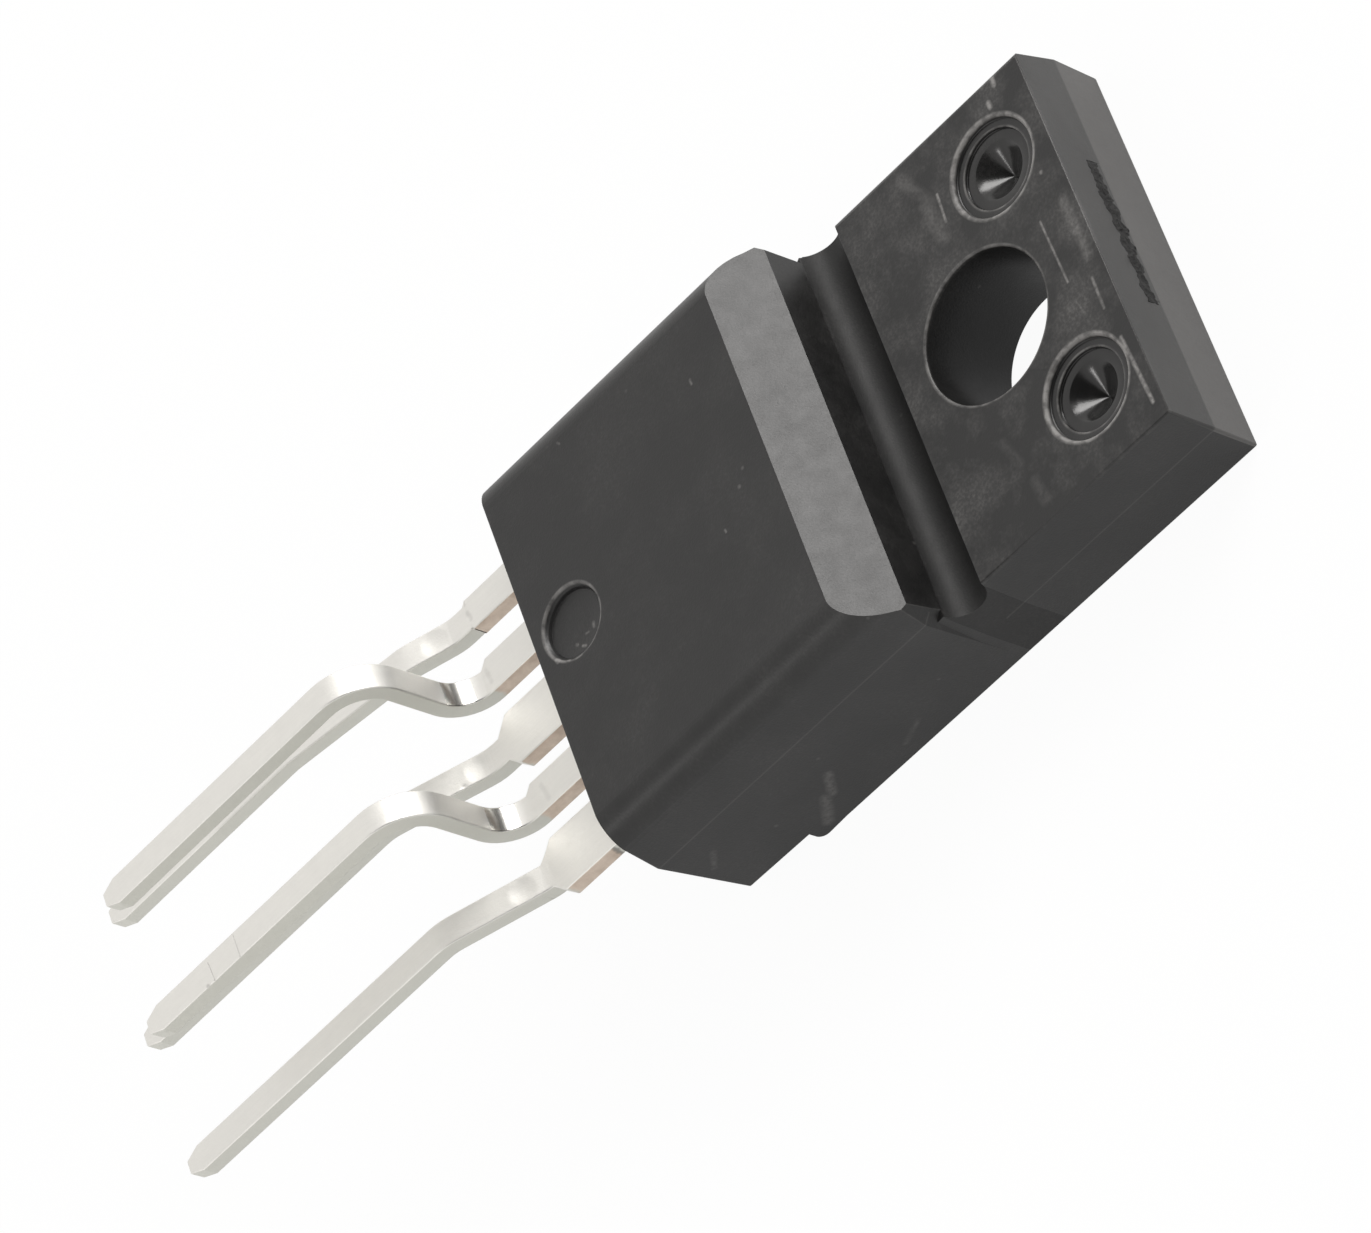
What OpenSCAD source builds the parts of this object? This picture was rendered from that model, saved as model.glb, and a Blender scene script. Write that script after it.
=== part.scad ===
/* [Moulded body] */
// Width across the thick part, at its parting line
body_w = 10; // [9.6:0.1:12]
// Length of the thick part, from the foot of the slope to the lead end
body_l = 8.47; // [7.8:0.01:10]
// Thickness over the thick part
body_t = 4.53; // [4.4:0.01:5.4]
// Height of the thick part's parting line
parting_z = 2.89; // [2.75:0.01:2.95]
// Draft of the front half of the thick part's sides, in degrees
front_draft = 7; // [2:0.5:8]
// Draft of the back half of the thick part's sides, in degrees
back_draft = 1.2; // [0.4:0.1:4]
// Draft of the front half of the lead end, in degrees
end_front_draft = 6.2; // [3:0.1:9]
// Draft of the back half of the lead end, in degrees
end_back_draft = 6; // [1:0.1:8]
// How much further the -X sides reach at their parting lines than the +X sides
left_flare = 0.2; // [0:0.02:0.3]
// Radius of the long front edges
edge_r = 0.8; // [0.3:0.05:1]
// Bevel of the upright corners beside the tab
corner_bevel = 0.2; // [0.1:0.05:0.4]

/* [Mounting tab] */
// Width of the tab at its parting line
tab_w = 9.92; // [9:0.02:9.96]
// Thickness of the tab
tab_t = 2.59; // [2.4:0.01:2.8]
// Distance from the screw hole to the end of the tab
tab_end = 3.18; // [2.8:0.01:4]
// Distance from the screw hole to the wall of the thick part
tab_l = 3.62; // [3.4:0.01:4.5]
// Height of the tab's parting line above the back
tab_parting = 1.3; // [1:0.01:1.6]
// Draft of the tab's edges in front of the parting line, in degrees
tab_front_draft = 2.5; // [2:0.5:7]
// Draft of the tab's edges behind the parting line, in degrees
tab_back_draft = 0.8; // [0.2:0.1:5]
// Bevel of the tab's front edge on the -X side
tab_bevel = 0.1; // [0.02:0.02:0.16]
// Width of the broken gate on the tab's end
gate_w = 3.8; // [2:0.1:5]
// Height of the broken gate
gate_h = 0.34; // [0.3:0.02:0.8]
// Distance of the gate's middle from the centre line, towards -X
gate_offset = 0.3; // [0:0.05:1]
// How far the broken gate stands out at its front edge
gate_proud = 0.03; // [0.01:0.01:0.1]

/* [Screw hole] */
// Diameter of the screw hole
hole_d = 3.3; // [3:0.02:3.6]
// Bevel round the mouth of the screw hole
hole_rim = 0.03; // [0.02:0.01:0.15]

/* [Wall and slope] */
// Height at which the slope meets the wall
wall_top = 3.56; // [3.4:0.01:4.1]
// Length of the slope, along the body
slope_l = 1.12; // [0.8:0.02:2]
// Draft of the wall, in degrees
wall_draft = 5; // [2:0.5:8]
// Radius of the channel at the foot of the wall
groove_r = 0.55; // [0.3:0.05:0.7]
// Height of the channel's axis over the face of the tab
groove_lift = 0.05; // [0:0.01:0.15]

/* [Pits and dimple] */
// Distance between the two conical pits
pit_span = 6.02; // [5.4:0.02:6.4]
// Distance of the pits from the screw hole, along the tab
pit_y = 1.6; // [1:0.02:1.8]
// Radius of a pit's mouth
pit_r = 1.06; // [0.8:0.02:1.12]
// Bevel round a pit's mouth
pit_rim = 0.04; // [0.02:0.01:0.08]
// Radius of the second ring, inside the mouth
ring_r = 0.86; // [0.78:0.02:0.9]
// Depth of the ledge between the mouth and the second ring
ring_depth = 0.12; // [0.08:0.01:0.15]
// Depth of the floor round the cone
pit_step = 0.2; // [0.18:0.02:0.3]
// Radius of the cone at the step
cone_r = 0.62; // [0.4:0.02:0.75]
// Depth of the cone's point below the face
cone_depth = 0.68; // [0.5:0.02:1]
// Radius of the ejector dimple on the front face
dimple_r = 0.74; // [0.5:0.02:1]
// Distance of the ejector dimple's centre from the centre line, towards -X
dimple_offset = 0.12; // [0:0.01:0.2]
// Depth of the ejector dimple
dimple_depth = 0.18; // [0.1:0.02:0.3]
// Bevel round the ejector dimple
dimple_rim = 0.1; // [0.04:0.02:0.16]
// Distance of the dimple's centre from the lead end
dimple_inset = 1.3; // [1.1:0.05:2]

/* [Back recess] */
// Length of the recess at the lead end of the back
recess_l = 2.1; // [1.5:0.02:2.6]
// Depth of the recess
recess_depth = 0.41; // [0.3:0.01:0.6]
// Radius of the edge where the back meets the recess
recess_r = 0.2; // [0.1:0.02:0.28]

/* [Leads] */
// Distance between neighbouring leads
pitch = 1.7; // [1.68:0.01:1.8]
// Width of a lead beyond its shoulder
lead_w = 0.66; // [0.5:0.01:0.75]
// Thickness of the lead frame
lead_t = 0.4; // [0.36:0.01:0.48]
// Height of the leads' front face
lead_z = 3.1; // [3:0.01:3.2]
// Distance of the middle lead from the centre line, towards -X
lead_offset = 0.1; // [0:0.01:0.15]
// Distance from the screw hole to the tips of leads 1, 3 and 5
long_reach = 25.5; // [22:0.05:28]
// Distance from the screw hole to the tips of leads 2 and 4
upper_reach = 23.5; // [20:0.05:26]
// Length of the pointed tip of a lead
tip_l = 0.4; // [0.1:0.05:0.5]
// Length of the shoulders outside the body
shoulder_l = 2.2; // [1.6:0.05:2.4]
// Height that lead 2 rises
upper_rise = 3.28; // [2.8:0.02:4]
// How much lower lead 4 lies than lead 2
rise_step = 0.1; // [0:0.01:0.15]
// Straight run of lead 1 outside the body
run_1 = 2.55; // [2.4:0.05:2.8]
// Slant of lead 1 between its first two bends
slant_1 = 0.9; // [0.7:0.05:1.1]
// Gentle climb of lead 1 up to its last bend
glide_1 = 3.3; // [2.5:0.1:4]
// Straight run of lead 3 outside the body
run_3 = 2.75; // [2.5:0.05:2.95]
// Height that lead 3 rises
rise_3 = 1.05; // [0.9:0.05:1.2]
// Straight run of lead 5 outside the body
run_5 = 2.3; // [2.25:0.05:2.7]
// Height that lead 5 rises
rise_5 = 0.95; // [0.8:0.05:1.1]
// Radius of the bends of leads 1, 3 and 5, on the lead's middle
low_bend_r = 1.2; // [1:0.05:1.3]
// Straight run of leads 2 and 4 outside the body
upper_run = 2.29; // [2.25:0.01:2.5]
// Radius of the lower bend of leads 2 and 4, on the lead's middle
lower_bend_r = 0.92; // [0.5:0.02:1]
// Radius of the upper bend of leads 2 and 4, on the lead's middle
upper_bend_r = 1.06; // [0.5:0.02:1.1]

/* [Header and chip] */
// Width of the header
header_w = 8; // [7:0.1:8.4]
// Thickness of the header
header_t = 0.5; // [0.4:0.02:0.6]
// Compound between the header and the back face
header_cover = 0.6; // [0.5:0.02:0.75]
// Compound between the header's opening and the screw hole
hole_cover = 0.8; // [0.6:0.05:1]
// Compound between the header and the end of the tab
end_cover = 0.9; // [0.6:0.05:1.2]
// Distance from the header to the lead end
header_inset = 2.6; // [2.5:0.05:3]
// Width of the chip
chip_w = 4.2; // [3:0.1:5]
// Length of the chip
chip_l = 3.2; // [2:0.1:3.4]
// Thickness of the chip
chip_t = 0.25; // [0.2:0.01:0.35]
// Thickness of the solder under the chip
solder_t = 0.05; // [0.03:0.01:0.08]
// How far the solder shows round the chip
solder_edge = 0.05; // [0:0.01:0.1]
// Distance from the header's edge to the chip
chip_inset = 1; // [0.6:0.1:1.5]
// Length of the bond posts inside the body
post_l = 1.85; // [1.6:0.05:2]
// Width of the bond posts
post_w = 1.2; // [0.9:0.05:1.25]
// Length of lead between the body's end and a bond post
post_neck = 0.7; // [0.5:0.05:0.9]
// Slope of the neck between the centre lead and the header, in degrees
neck_angle = 60; // [50:1:65]
// Radius of the neck's bends
neck_r = 0.5; // [0.4:0.05:0.6]
// Distance of a bond foot from the edge it is bonded beside
pad_inset = 0.55; // [0.5:0.05:0.7]
// Angle that a bond wire's arc turns through, in degrees
wire_sweep = 110; // [90:5:120]
// Length of a bond wire's foot, in wire diameters
foot_l = 2; // [1.5:0.1:2.2]
// Width of a bond wire's foot, in wire diameters
foot_w = 1.5; // [1.2:0.1:1.8]
// Diameter of the power bond wires, to leads 1 and 5
power_wire_d = 0.3; // [0.2:0.02:0.36]
// Diameter of the control bond wires, to leads 2 and 4
control_wire_d = 0.16; // [0.1:0.02:0.2]

/* [Hidden] */
$fn = 64;
// How far a cut reaches past the surface, and an added shape into its neighbour
over = 1;

bite = 0.5;

body_y = -tab_l;
end_y = body_y - body_l;
function wall_y(z) = body_y + (wall_top - z) * tan(wall_draft);

// Each lead's bends outwards from its root: straight run before the bend, angle (up is positive), radius
function low_bends_1(root) = [[root + run_1, 21, low_bend_r], [slant_1, -13, low_bend_r],
    [glide_1, -8, low_bend_r]];
function low_bends_3(root) = rise(root + run_3, rise_3, 23);
function low_bends_5(root) = rise(root + run_5, rise_5, 21);
function rise(run, height, angle) = [[run, angle, low_bend_r],
    [(height - 2 * low_bend_r * (1 - cos(angle))) / sin(angle), -angle, low_bend_r]];
function upright(n) = upper_rise - (n == 4 ? rise_step : 0) - lower_bend_r - upper_bend_r;
function upper_bends(n, root) = [[root + upper_run, 90, lower_bend_r], [upright(n), -90, upper_bend_r]];

lead_colour = "#b9bcbd";
tip_w = lead_w / 2;
post_back = 0.45;
header_y = end_y + header_inset;
header_top = header_cover + header_t;
chip_y = header_y + chip_inset + chip_l / 2;
solder_w = chip_w + 2 * solder_edge;
solder_l = chip_l + 2 * solder_edge;

// Shoulder widths to the left and the right of each lead's middle
shoulder_left = [0.44, 0.53, 0.71, 0.52, 0.75];
shoulder_right = [0.36, 0.33, 0.6, 0.33, 0.61];

// Turns a section drawn in Y and Z into a bar that lies along X
module along_x(length) {
    rotate([90, 0, 90]) linear_extrude(length, center = true) children();
}

// Turns a section drawn in X and Z into a bar that lies along Y, from y0 to y1
module along_y(y0, y1) {
    translate([0, y1, 0]) rotate([90, 0, 0]) linear_extrude(y1 - y0) children();
}

// Section of the thick part across its width, with drafted sides and round front edges
module thick_section() {
    half_w = body_w / 2;
    arc_z = body_t - edge_r;
    arc_x = half_w - (arc_z - parting_z) * tan(front_draft) - edge_r / cos(front_draft);
    touch = [arc_x + edge_r * cos(front_draft), arc_z + edge_r * sin(front_draft)];
    foot_x = half_w - parting_z * tan(back_draft);
    polygon([[foot_x, 0], [half_w, parting_z], touch, [arc_x, body_t],
        [-arc_x, body_t], [-touch[0], touch[1]], [-half_w - left_flare, parting_z], [-foot_x - left_flare, 0]]);
    for (side = [-1, 1]) translate([side * arc_x, arc_z]) circle(edge_r);
}

// Section of the thick part along its length: lead end, front, slope and wall
module thick_profile() {
    recess_y = end_y + recess_l;
    front_end_y = end_y + (body_t - parting_z) * tan(end_front_draft);
    back_end_y = end_y + (parting_z - recess_depth) * tan(end_back_draft);
    polygon([[wall_y(0), 0], [recess_y + recess_r, 0], [recess_y, recess_r], [recess_y, recess_depth],
        [back_end_y, recess_depth], [end_y, parting_z], [front_end_y, body_t],
        [body_y - slope_l, body_t], [body_y, wall_top]]);
    translate([recess_y + recess_r, recess_r]) circle(recess_r);
}

module thick_part() {
    half_w = body_w / 2;
    far_w = half_w + left_flare;
    far_bevel = corner_bevel + left_flare;
    intersection() {
        along_x(body_w + over) thick_profile();
        along_y(end_y - over, over) thick_section();
        translate([0, 0, -over]) linear_extrude(body_t + 2 * over)
            polygon([[-far_w, end_y - over], [half_w, end_y - over], [half_w, body_y - corner_bevel],
                [half_w - 2 * corner_bevel, body_y + corner_bevel], [half_w - 2 * corner_bevel, over],
                [-far_w + 2 * far_bevel, over], [-far_w + 2 * far_bevel, body_y + far_bevel],
                [-far_w, body_y - far_bevel]]);
    }
}

// Six-sided section through an edge of the tab, with its parting line at the widest place
function tab_reach(parting) = [parting - tab_parting * tan(tab_back_draft), parting,
    parting - (tab_t - tab_parting) * tan(tab_front_draft)];

module tab() {
    side = tab_reach(tab_w / 2);
    end = tab_reach(tab_end);
    intersection() {
        along_y(body_y - over, tab_end + over)
            polygon([[side[0], 0], [side[1], tab_parting], [side[2], tab_t],
                [-side[2] + tab_bevel, tab_t], [-side[2], tab_t - tab_bevel],
                [-side[1] - left_flare, tab_parting], [-side[0] - left_flare, 0]]);
        along_x(body_w + over)
            polygon([[end[0], 0], [end[1], tab_parting], [end[2], tab_t], [body_y - over, tab_t],
                [body_y - over, 0]]);
    }
}

// Broken stub where the compound came in, on the tab's end in front of the parting line
module gate() {
    top = tab_parting + gate_h;
    top_y = tab_end - gate_h * tan(tab_front_draft) + gate_proud;
    translate([-gate_offset, 0, 0]) along_x(gate_w)
        polygon([[tab_end - bite, tab_parting], [tab_end, tab_parting], [top_y, top], [tab_end - bite, top]]);
}

module pit() {
    translate([0, 0, tab_t - pit_rim]) cylinder(pit_rim, r1 = pit_r, r2 = pit_r + pit_rim);
    translate([0, 0, tab_t - ring_depth]) cylinder(ring_depth + over, r = pit_r);
    translate([0, 0, tab_t - pit_step]) cylinder(pit_step, r = ring_r);
    translate([0, 0, tab_t - cone_depth]) cylinder(cone_depth - pit_step, r1 = 0, r2 = cone_r);
}

module dimple() {
    floor_z = body_t - dimple_depth;
    translate([-dimple_offset, end_y + dimple_inset, 0]) {
        translate([0, 0, floor_z]) cylinder(dimple_depth + over, r = dimple_r);
        translate([0, 0, body_t - dimple_rim]) cylinder(dimple_rim, r1 = dimple_r, r2 = dimple_r + dimple_rim);
    }
}

module screw_hole() {
    translate([0, 0, -over]) cylinder(tab_t + 2 * over, d = hole_d);
    translate([0, 0, tab_t - hole_rim]) cylinder(hole_rim, d1 = hole_d, d2 = hole_d + 2 * hole_rim);
}

module groove() {
    groove_y = wall_y(tab_t) + groove_r;
    translate([0, groove_y, tab_t + groove_lift]) rotate([0, 90, 0])
        cylinder(body_w + 2 * over, r = groove_r, center = true);
}

module moulded_body() {
    color("#3a3a3a") difference() {
        union() {
            thick_part();
            tab();
            gate();
        }
        groove();
        screw_hole();
        dimple();
        for (side = [-1, 1]) translate([side * pit_span / 2, pit_y, 0]) pit();
        centre_lead();
        for (n = [1, 2, 4, 5]) formed_lead(n);
        solder();
        chip();
        for (n = [1, 2, 4, 5]) bond_wire(n);
    }
}

// Strip of metal that follows its bends from the origin, lying along +X with its front face up
module strip(width, bends, tail, i = 0) {
    run = i < len(bends) ? bends[i][0] : tail;
    translate([0, -lead_t / 2, -width / 2]) cube([run, lead_t, width]);
    if (i < len(bends)) {
        angle = bends[i][1];
        radius = bends[i][2];
        way = sign(angle);
        translate([run, way * radius, 0]) {
            rotate([0, 0, way > 0 ? -90 : 90 + angle]) rotate_extrude(angle = abs(angle))
                translate([radius - lead_t / 2, -width / 2]) square([lead_t, width]);
            rotate([0, 0, angle]) translate([0, -way * radius, 0]) strip(width, bends, tail, i + 1);
        }
    }
}

// Heading of a strip before bend i, and how far its bends carry it outwards
function heading(bends, i) = i == 0 ? 0 : heading(bends, i - 1) + bends[i - 1][1];
function carried(bends, i = 0) = i == len(bends) ? 0 : bends[i][0] * cos(heading(bends, i))
    + bends[i][2] * abs(sin(heading(bends, i + 1)) - sin(heading(bends, i))) + carried(bends, i + 1);

function lead_bends(n, root) = n == 1 ? low_bends_1(root) : n == 3 ? low_bends_3(root)
    : n == 5 ? low_bends_5(root) : upper_bends(n, root);
function lead_reach(n) = n % 2 == 1 ? long_reach : upper_reach;
function lead_x(n) = (n - 3) * pitch - lead_offset;

// Outline of a lead's blank from above, about its middle: bond post, shoulder, narrow run and tip
module blank(n) {
    reach = lead_reach(n);
    half_w = lead_w / 2;
    left = shoulder_left[n - 1];
    right = shoulder_right[n - 1];
    shoulder_y = end_y - shoulder_l;
    polygon([[-left, end_y + post_neck], [-left, shoulder_y], [-half_w, shoulder_y - (left - half_w)],
        [-half_w, tip_l - reach], [-tip_w / 2, -reach], [tip_w / 2, -reach], [half_w, tip_l - reach],
        [half_w, shoulder_y - (right - half_w)], [right, shoulder_y], [right, end_y + post_neck]]);
    if (n != 3) {
        outer = sign(lead_x(n)) * (post_w - post_back);
        inner = -sign(lead_x(n)) * post_back;
        translate([min(outer, inner), end_y + post_neck]) square([post_w, post_l - post_neck]);
    }
}

// A lead is its blank's outline cut from a wide strip that already has the bends
module formed_lead(n) {
    root_l = n == 3 ? post_neck : post_l;
    bends = lead_bends(n, root_l);
    tail = root_l + lead_reach(n) + end_y - carried(bends);
    translate([lead_x(n), 0, 0]) intersection() {
        translate([0, end_y + root_l, lead_z - lead_t / 2]) rotate([90, 0, -90]) strip(2 * post_w, bends, tail);
        linear_extrude(lead_z + upper_rise + over) blank(n);
    }
}

// Plate under the chip, with an opening round the screw hole
module header() {
    header_l = tab_end - end_cover - header_y;
    translate([0, 0, header_cover]) difference() {
        translate([-header_w / 2, header_y, 0]) cube([header_w, header_l, header_t]);
        translate([0, 0, -over]) cylinder(header_t + 2 * over, r = hole_d / 2 + hole_cover);
    }
}

// Step down from the centre lead to the header, inside the body
module neck() {
    drop = lead_z - lead_t / 2 - header_cover - header_t / 2;
    slant = (drop - 2 * neck_r * (1 - cos(neck_angle))) / sin(neck_angle);
    steps = [[header_inset - neck_l(slant), -neck_angle, neck_r], [slant, neck_angle, neck_r]];
    left = shoulder_left[2];
    right = shoulder_right[2];
    translate([lead_x(3) + (right - left) / 2, end_y, lead_z - lead_t / 2]) rotate([90, 0, 90])
        strip(left + right, steps, bite);
}
function neck_l(slant) = 2 * neck_r * sin(neck_angle) + slant * cos(neck_angle);

module centre_lead() {
    formed_lead(3);
    neck();
    header();
}

module solder() {
    color("#8f9294") translate([-solder_w / 2, chip_y - solder_l / 2, header_top])
        cube([solder_w, solder_l, solder_t]);
}

module chip() {
    color("#5d6068") translate([-chip_w / 2, chip_y - chip_l / 2, header_top + solder_t])
        cube([chip_w, chip_l, chip_t]);
}

// Bond wire from the chip to the post of lead n: an arc between two feet
module bond_wire(n) {
    side = sign(lead_x(n));
    power = n == 1 || n == 5;
    d = power ? power_wire_d : control_wire_d;
    foot = [foot_w * d, foot_l * d, d];
    from = [side * (power ? chip_w / 2 - pad_inset : pad_inset), chip_y - chip_l / 2 + pad_inset,
        header_top + solder_t + chip_t];
    to = [lead_x(n) + side * (post_w / 2 - post_back), end_y + post_l - pad_inset, lead_z];
    way = to - from;
    level = norm([way.x, way.y]);
    chord = norm(way);
    radius = chord / 2 / sin(wire_sweep / 2);
    turn = atan2(way.y, way.x);
    color("#c9cccd") {
        for (end = [from, to]) translate(end) rotate([0, 0, turn - 90])
            translate([-foot.x / 2, -foot.y / 2, 0]) cube(foot);
        translate(from + [0, 0, d / 2]) rotate([0, 0, turn]) rotate([90, 0, 0])
            rotate([0, 0, atan2(way.z, level)]) translate([chord / 2, -radius * cos(wire_sweep / 2), 0])
                rotate([0, 0, 90 - wire_sweep / 2]) rotate_extrude(angle = wire_sweep)
                    translate([radius, 0]) circle(d / 2);
    }
}

moulded_body();
color(lead_colour) centre_lead();
color(lead_colour) formed_lead(1);  // lead_1
color(lead_colour) formed_lead(2);  // lead_2
color(lead_colour) formed_lead(4);  // lead_4
color(lead_colour) formed_lead(5);  // lead_5
solder();
chip();
bond_wire(1);  // bond_wire_1
bond_wire(2);  // bond_wire_2
bond_wire(4);  // bond_wire_4
bond_wire(5);  // bond_wire_5
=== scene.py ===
import bpy
import bmesh
import math
from mathutils import Matrix, Vector, noise
from mathutils.bvhtree import BVHTree


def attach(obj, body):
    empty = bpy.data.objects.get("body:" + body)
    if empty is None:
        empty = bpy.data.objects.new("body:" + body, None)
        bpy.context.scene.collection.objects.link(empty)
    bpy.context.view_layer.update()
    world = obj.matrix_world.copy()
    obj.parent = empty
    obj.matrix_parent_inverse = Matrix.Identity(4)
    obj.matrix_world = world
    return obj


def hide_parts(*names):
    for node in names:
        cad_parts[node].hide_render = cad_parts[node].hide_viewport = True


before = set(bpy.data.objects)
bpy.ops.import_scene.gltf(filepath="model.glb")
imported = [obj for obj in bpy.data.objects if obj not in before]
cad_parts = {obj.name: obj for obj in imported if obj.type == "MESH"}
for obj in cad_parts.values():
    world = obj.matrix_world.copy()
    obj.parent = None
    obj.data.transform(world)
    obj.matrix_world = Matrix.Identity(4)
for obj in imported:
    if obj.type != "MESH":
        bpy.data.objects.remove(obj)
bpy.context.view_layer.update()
mm = 0.001
sheet = bpy.context.scene.collection
print("frame loaded:", len(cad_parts), "CAD nodes")


# one output of a shader node, with the arithmetic that a maths node can do
class Signal:
    def __init__(self, finish, socket):
        self.finish = finish
        self.socket = socket

    def calc(self, operation, *others):
        return self.finish.calc(operation, self, *others)

    def __add__(self, other):
        return self.calc("ADD", other)

    def __radd__(self, other):
        return self.calc("ADD", other)

    def __sub__(self, other):
        return self.calc("SUBTRACT", other)

    def __rsub__(self, other):
        return self.finish.calc("SUBTRACT", other, self)

    def __mul__(self, other):
        return self.calc("MULTIPLY", other)

    def __rmul__(self, other):
        return self.calc("MULTIPLY", other)

    def __truediv__(self, other):
        return self.calc("DIVIDE", other)

    def __rtruediv__(self, other):
        return self.finish.calc("DIVIDE", other, self)

    def __pow__(self, other):
        return self.calc("POWER", other)

    def __abs__(self):
        return self.calc("ABSOLUTE")

    def __gt__(self, other):
        return self.calc("GREATER_THAN", other)

    def __lt__(self, other):
        return self.calc("LESS_THAN", other)

    def atMost(self, other):
        return self.calc("MINIMUM", other)

    def atLeast(self, other):
        return self.calc("MAXIMUM", other)

    def between0and1(self):
        return self.atLeast(0.0).atMost(1.0)


# a material or world under construction: every node goes in through add()
class Finish:
    def __init__(self, owner):
        self.owner = owner
        owner.use_nodes = True
        self.tree = owner.node_tree
        self.tree.nodes.clear()

    # the place on the object in millimetres
    def measured(self):
        self.place = self.scaled(self.out(self.add("ShaderNodeTexCoord"), "Object"), 1 / mm)
        split = self.add("ShaderNodeSeparateXYZ", inputs={"Vector": self.place})
        self.x, self.y, self.z = (self.out(split, axis) for axis in "XYZ")
        return self

    def add(self, kind, settings=None, inputs=None):
        node = self.tree.nodes.new(kind)
        for key, value in (settings or {}).items():
            setattr(node, key, value)
        for key, value in (inputs or {}).items():
            socket = node.inputs[key]
            if isinstance(value, Signal):
                self.tree.links.new(value.socket, socket)
            else:
                socket.default_value = value
        return node

    def out(self, node, name):
        return Signal(self, node.outputs[name])

    def calc(self, operation, *values):
        node = self.add("ShaderNodeMath", {"operation": operation}, dict(enumerate(values)))
        return self.out(node, "Value")

    def scaled(self, vector, factor):
        node = self.add("ShaderNodeVectorMath", {"operation": "SCALE"}, {"Vector": vector, "Scale": factor})
        return self.out(node, "Vector")

    def stretched(self, vector, factors):
        node = self.add("ShaderNodeVectorMath", {"operation": "MULTIPLY"}, {0: vector, 1: factors})
        return self.out(node, "Vector")

    def grain(self, scale, detail=3.0, vector=None, roughness=0.55):
        inputs = {"Vector": vector or self.place, "Scale": scale, "Detail": detail, "Roughness": roughness}
        return self.out(self.add("ShaderNodeTexNoise", {"noise_dimensions": "3D"}, inputs), "Fac")

    def cells(self, scale):
        settings = {"voronoi_dimensions": "3D", "feature": "F1"}
        node = self.add("ShaderNodeTexVoronoi", settings, {"Vector": self.place, "Scale": scale})
        return self.out(node, "Distance")

    # noise cut to 0 below the span and 1 above it
    def patches(self, scale, detail, span):
        return self.ramp(self.grain(scale, detail), *span)

    def ramp(self, value, low, high):
        return ((value - low) / (high - low)).between0and1()

    def blend(self, factor, first, second):
        node = self.add("ShaderNodeMix", {"data_type": "RGBA"}, {0: factor, 6: first, 7: second})
        return Signal(self, node.outputs[2])

    # distance from an upright axis through centre
    def apart(self, centre):
        dx, dy = self.x - centre[0], self.y - centre[1]
        return (dx * dx + dy * dy) ** 0.5

    # 1 on a level ring, 0 beyond its width
    def ring(self, centre, radius, height, width):
        out = self.apart(centre) - radius
        up = self.z - height
        return 1.0 - self.ramp((out * out + up * up) ** 0.5, width * 0.15, width / 2)

    # how near a point of the surface is to a straight stroke, 1 on it and 0 beyond its width
    def stroke(self, start, end, width, soft=0.5):
        across = Vector(end) - Vector(start)
        length = max(across.length, 1e-6)
        along = across / length
        offset = [axis - float(at) for axis, at in zip((self.x, self.y, self.z), start)]
        reach = offset[0] * along.x + offset[1] * along.y + offset[2] * along.z
        reach = reach.atLeast(0.0).atMost(length)
        gaps = [part - reach * run for part, run in zip(offset, along)]
        gap = (gaps[0] * gaps[0] + gaps[1] * gaps[1] + gaps[2] * gaps[2]) ** 0.5
        return 1.0 - self.ramp(gap, width * (1 - soft) / 2, width / 2)

    def close(self, colour, roughness, bump=None, bumpHeight=0.01, metallic=0.0, **fixed):
        inputs = {"Base Color": colour, "Roughness": roughness, "Metallic": metallic}
        inputs.update({key.replace("_", " "): value for key, value in fixed.items()})
        if bump is not None:
            node = self.add("ShaderNodeBump", {}, {"Height": bump, "Distance": bumpHeight * mm})
            inputs["Normal"] = self.out(node, "Normal")
        shader = self.add("ShaderNodeBsdfPrincipled", inputs=inputs)
        self.add("ShaderNodeOutputMaterial", inputs={"Surface": self.out(shader, "BSDF")})
        return self.owner


def newLook(name):
    return Finish(bpy.data.materials.new(name))


def grey(level, warm=0.0):
    return (level * (1 + warm), level, level * (1 - warm), 1.0)


# a mask that never falls below the least share
def floored(least, mask):
    return least + mask * (1 - least)


def flatStrokes(strokes, height):
    return [((*start, height), (*end, height), width, strength) for start, end, width, strength in strokes]


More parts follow.
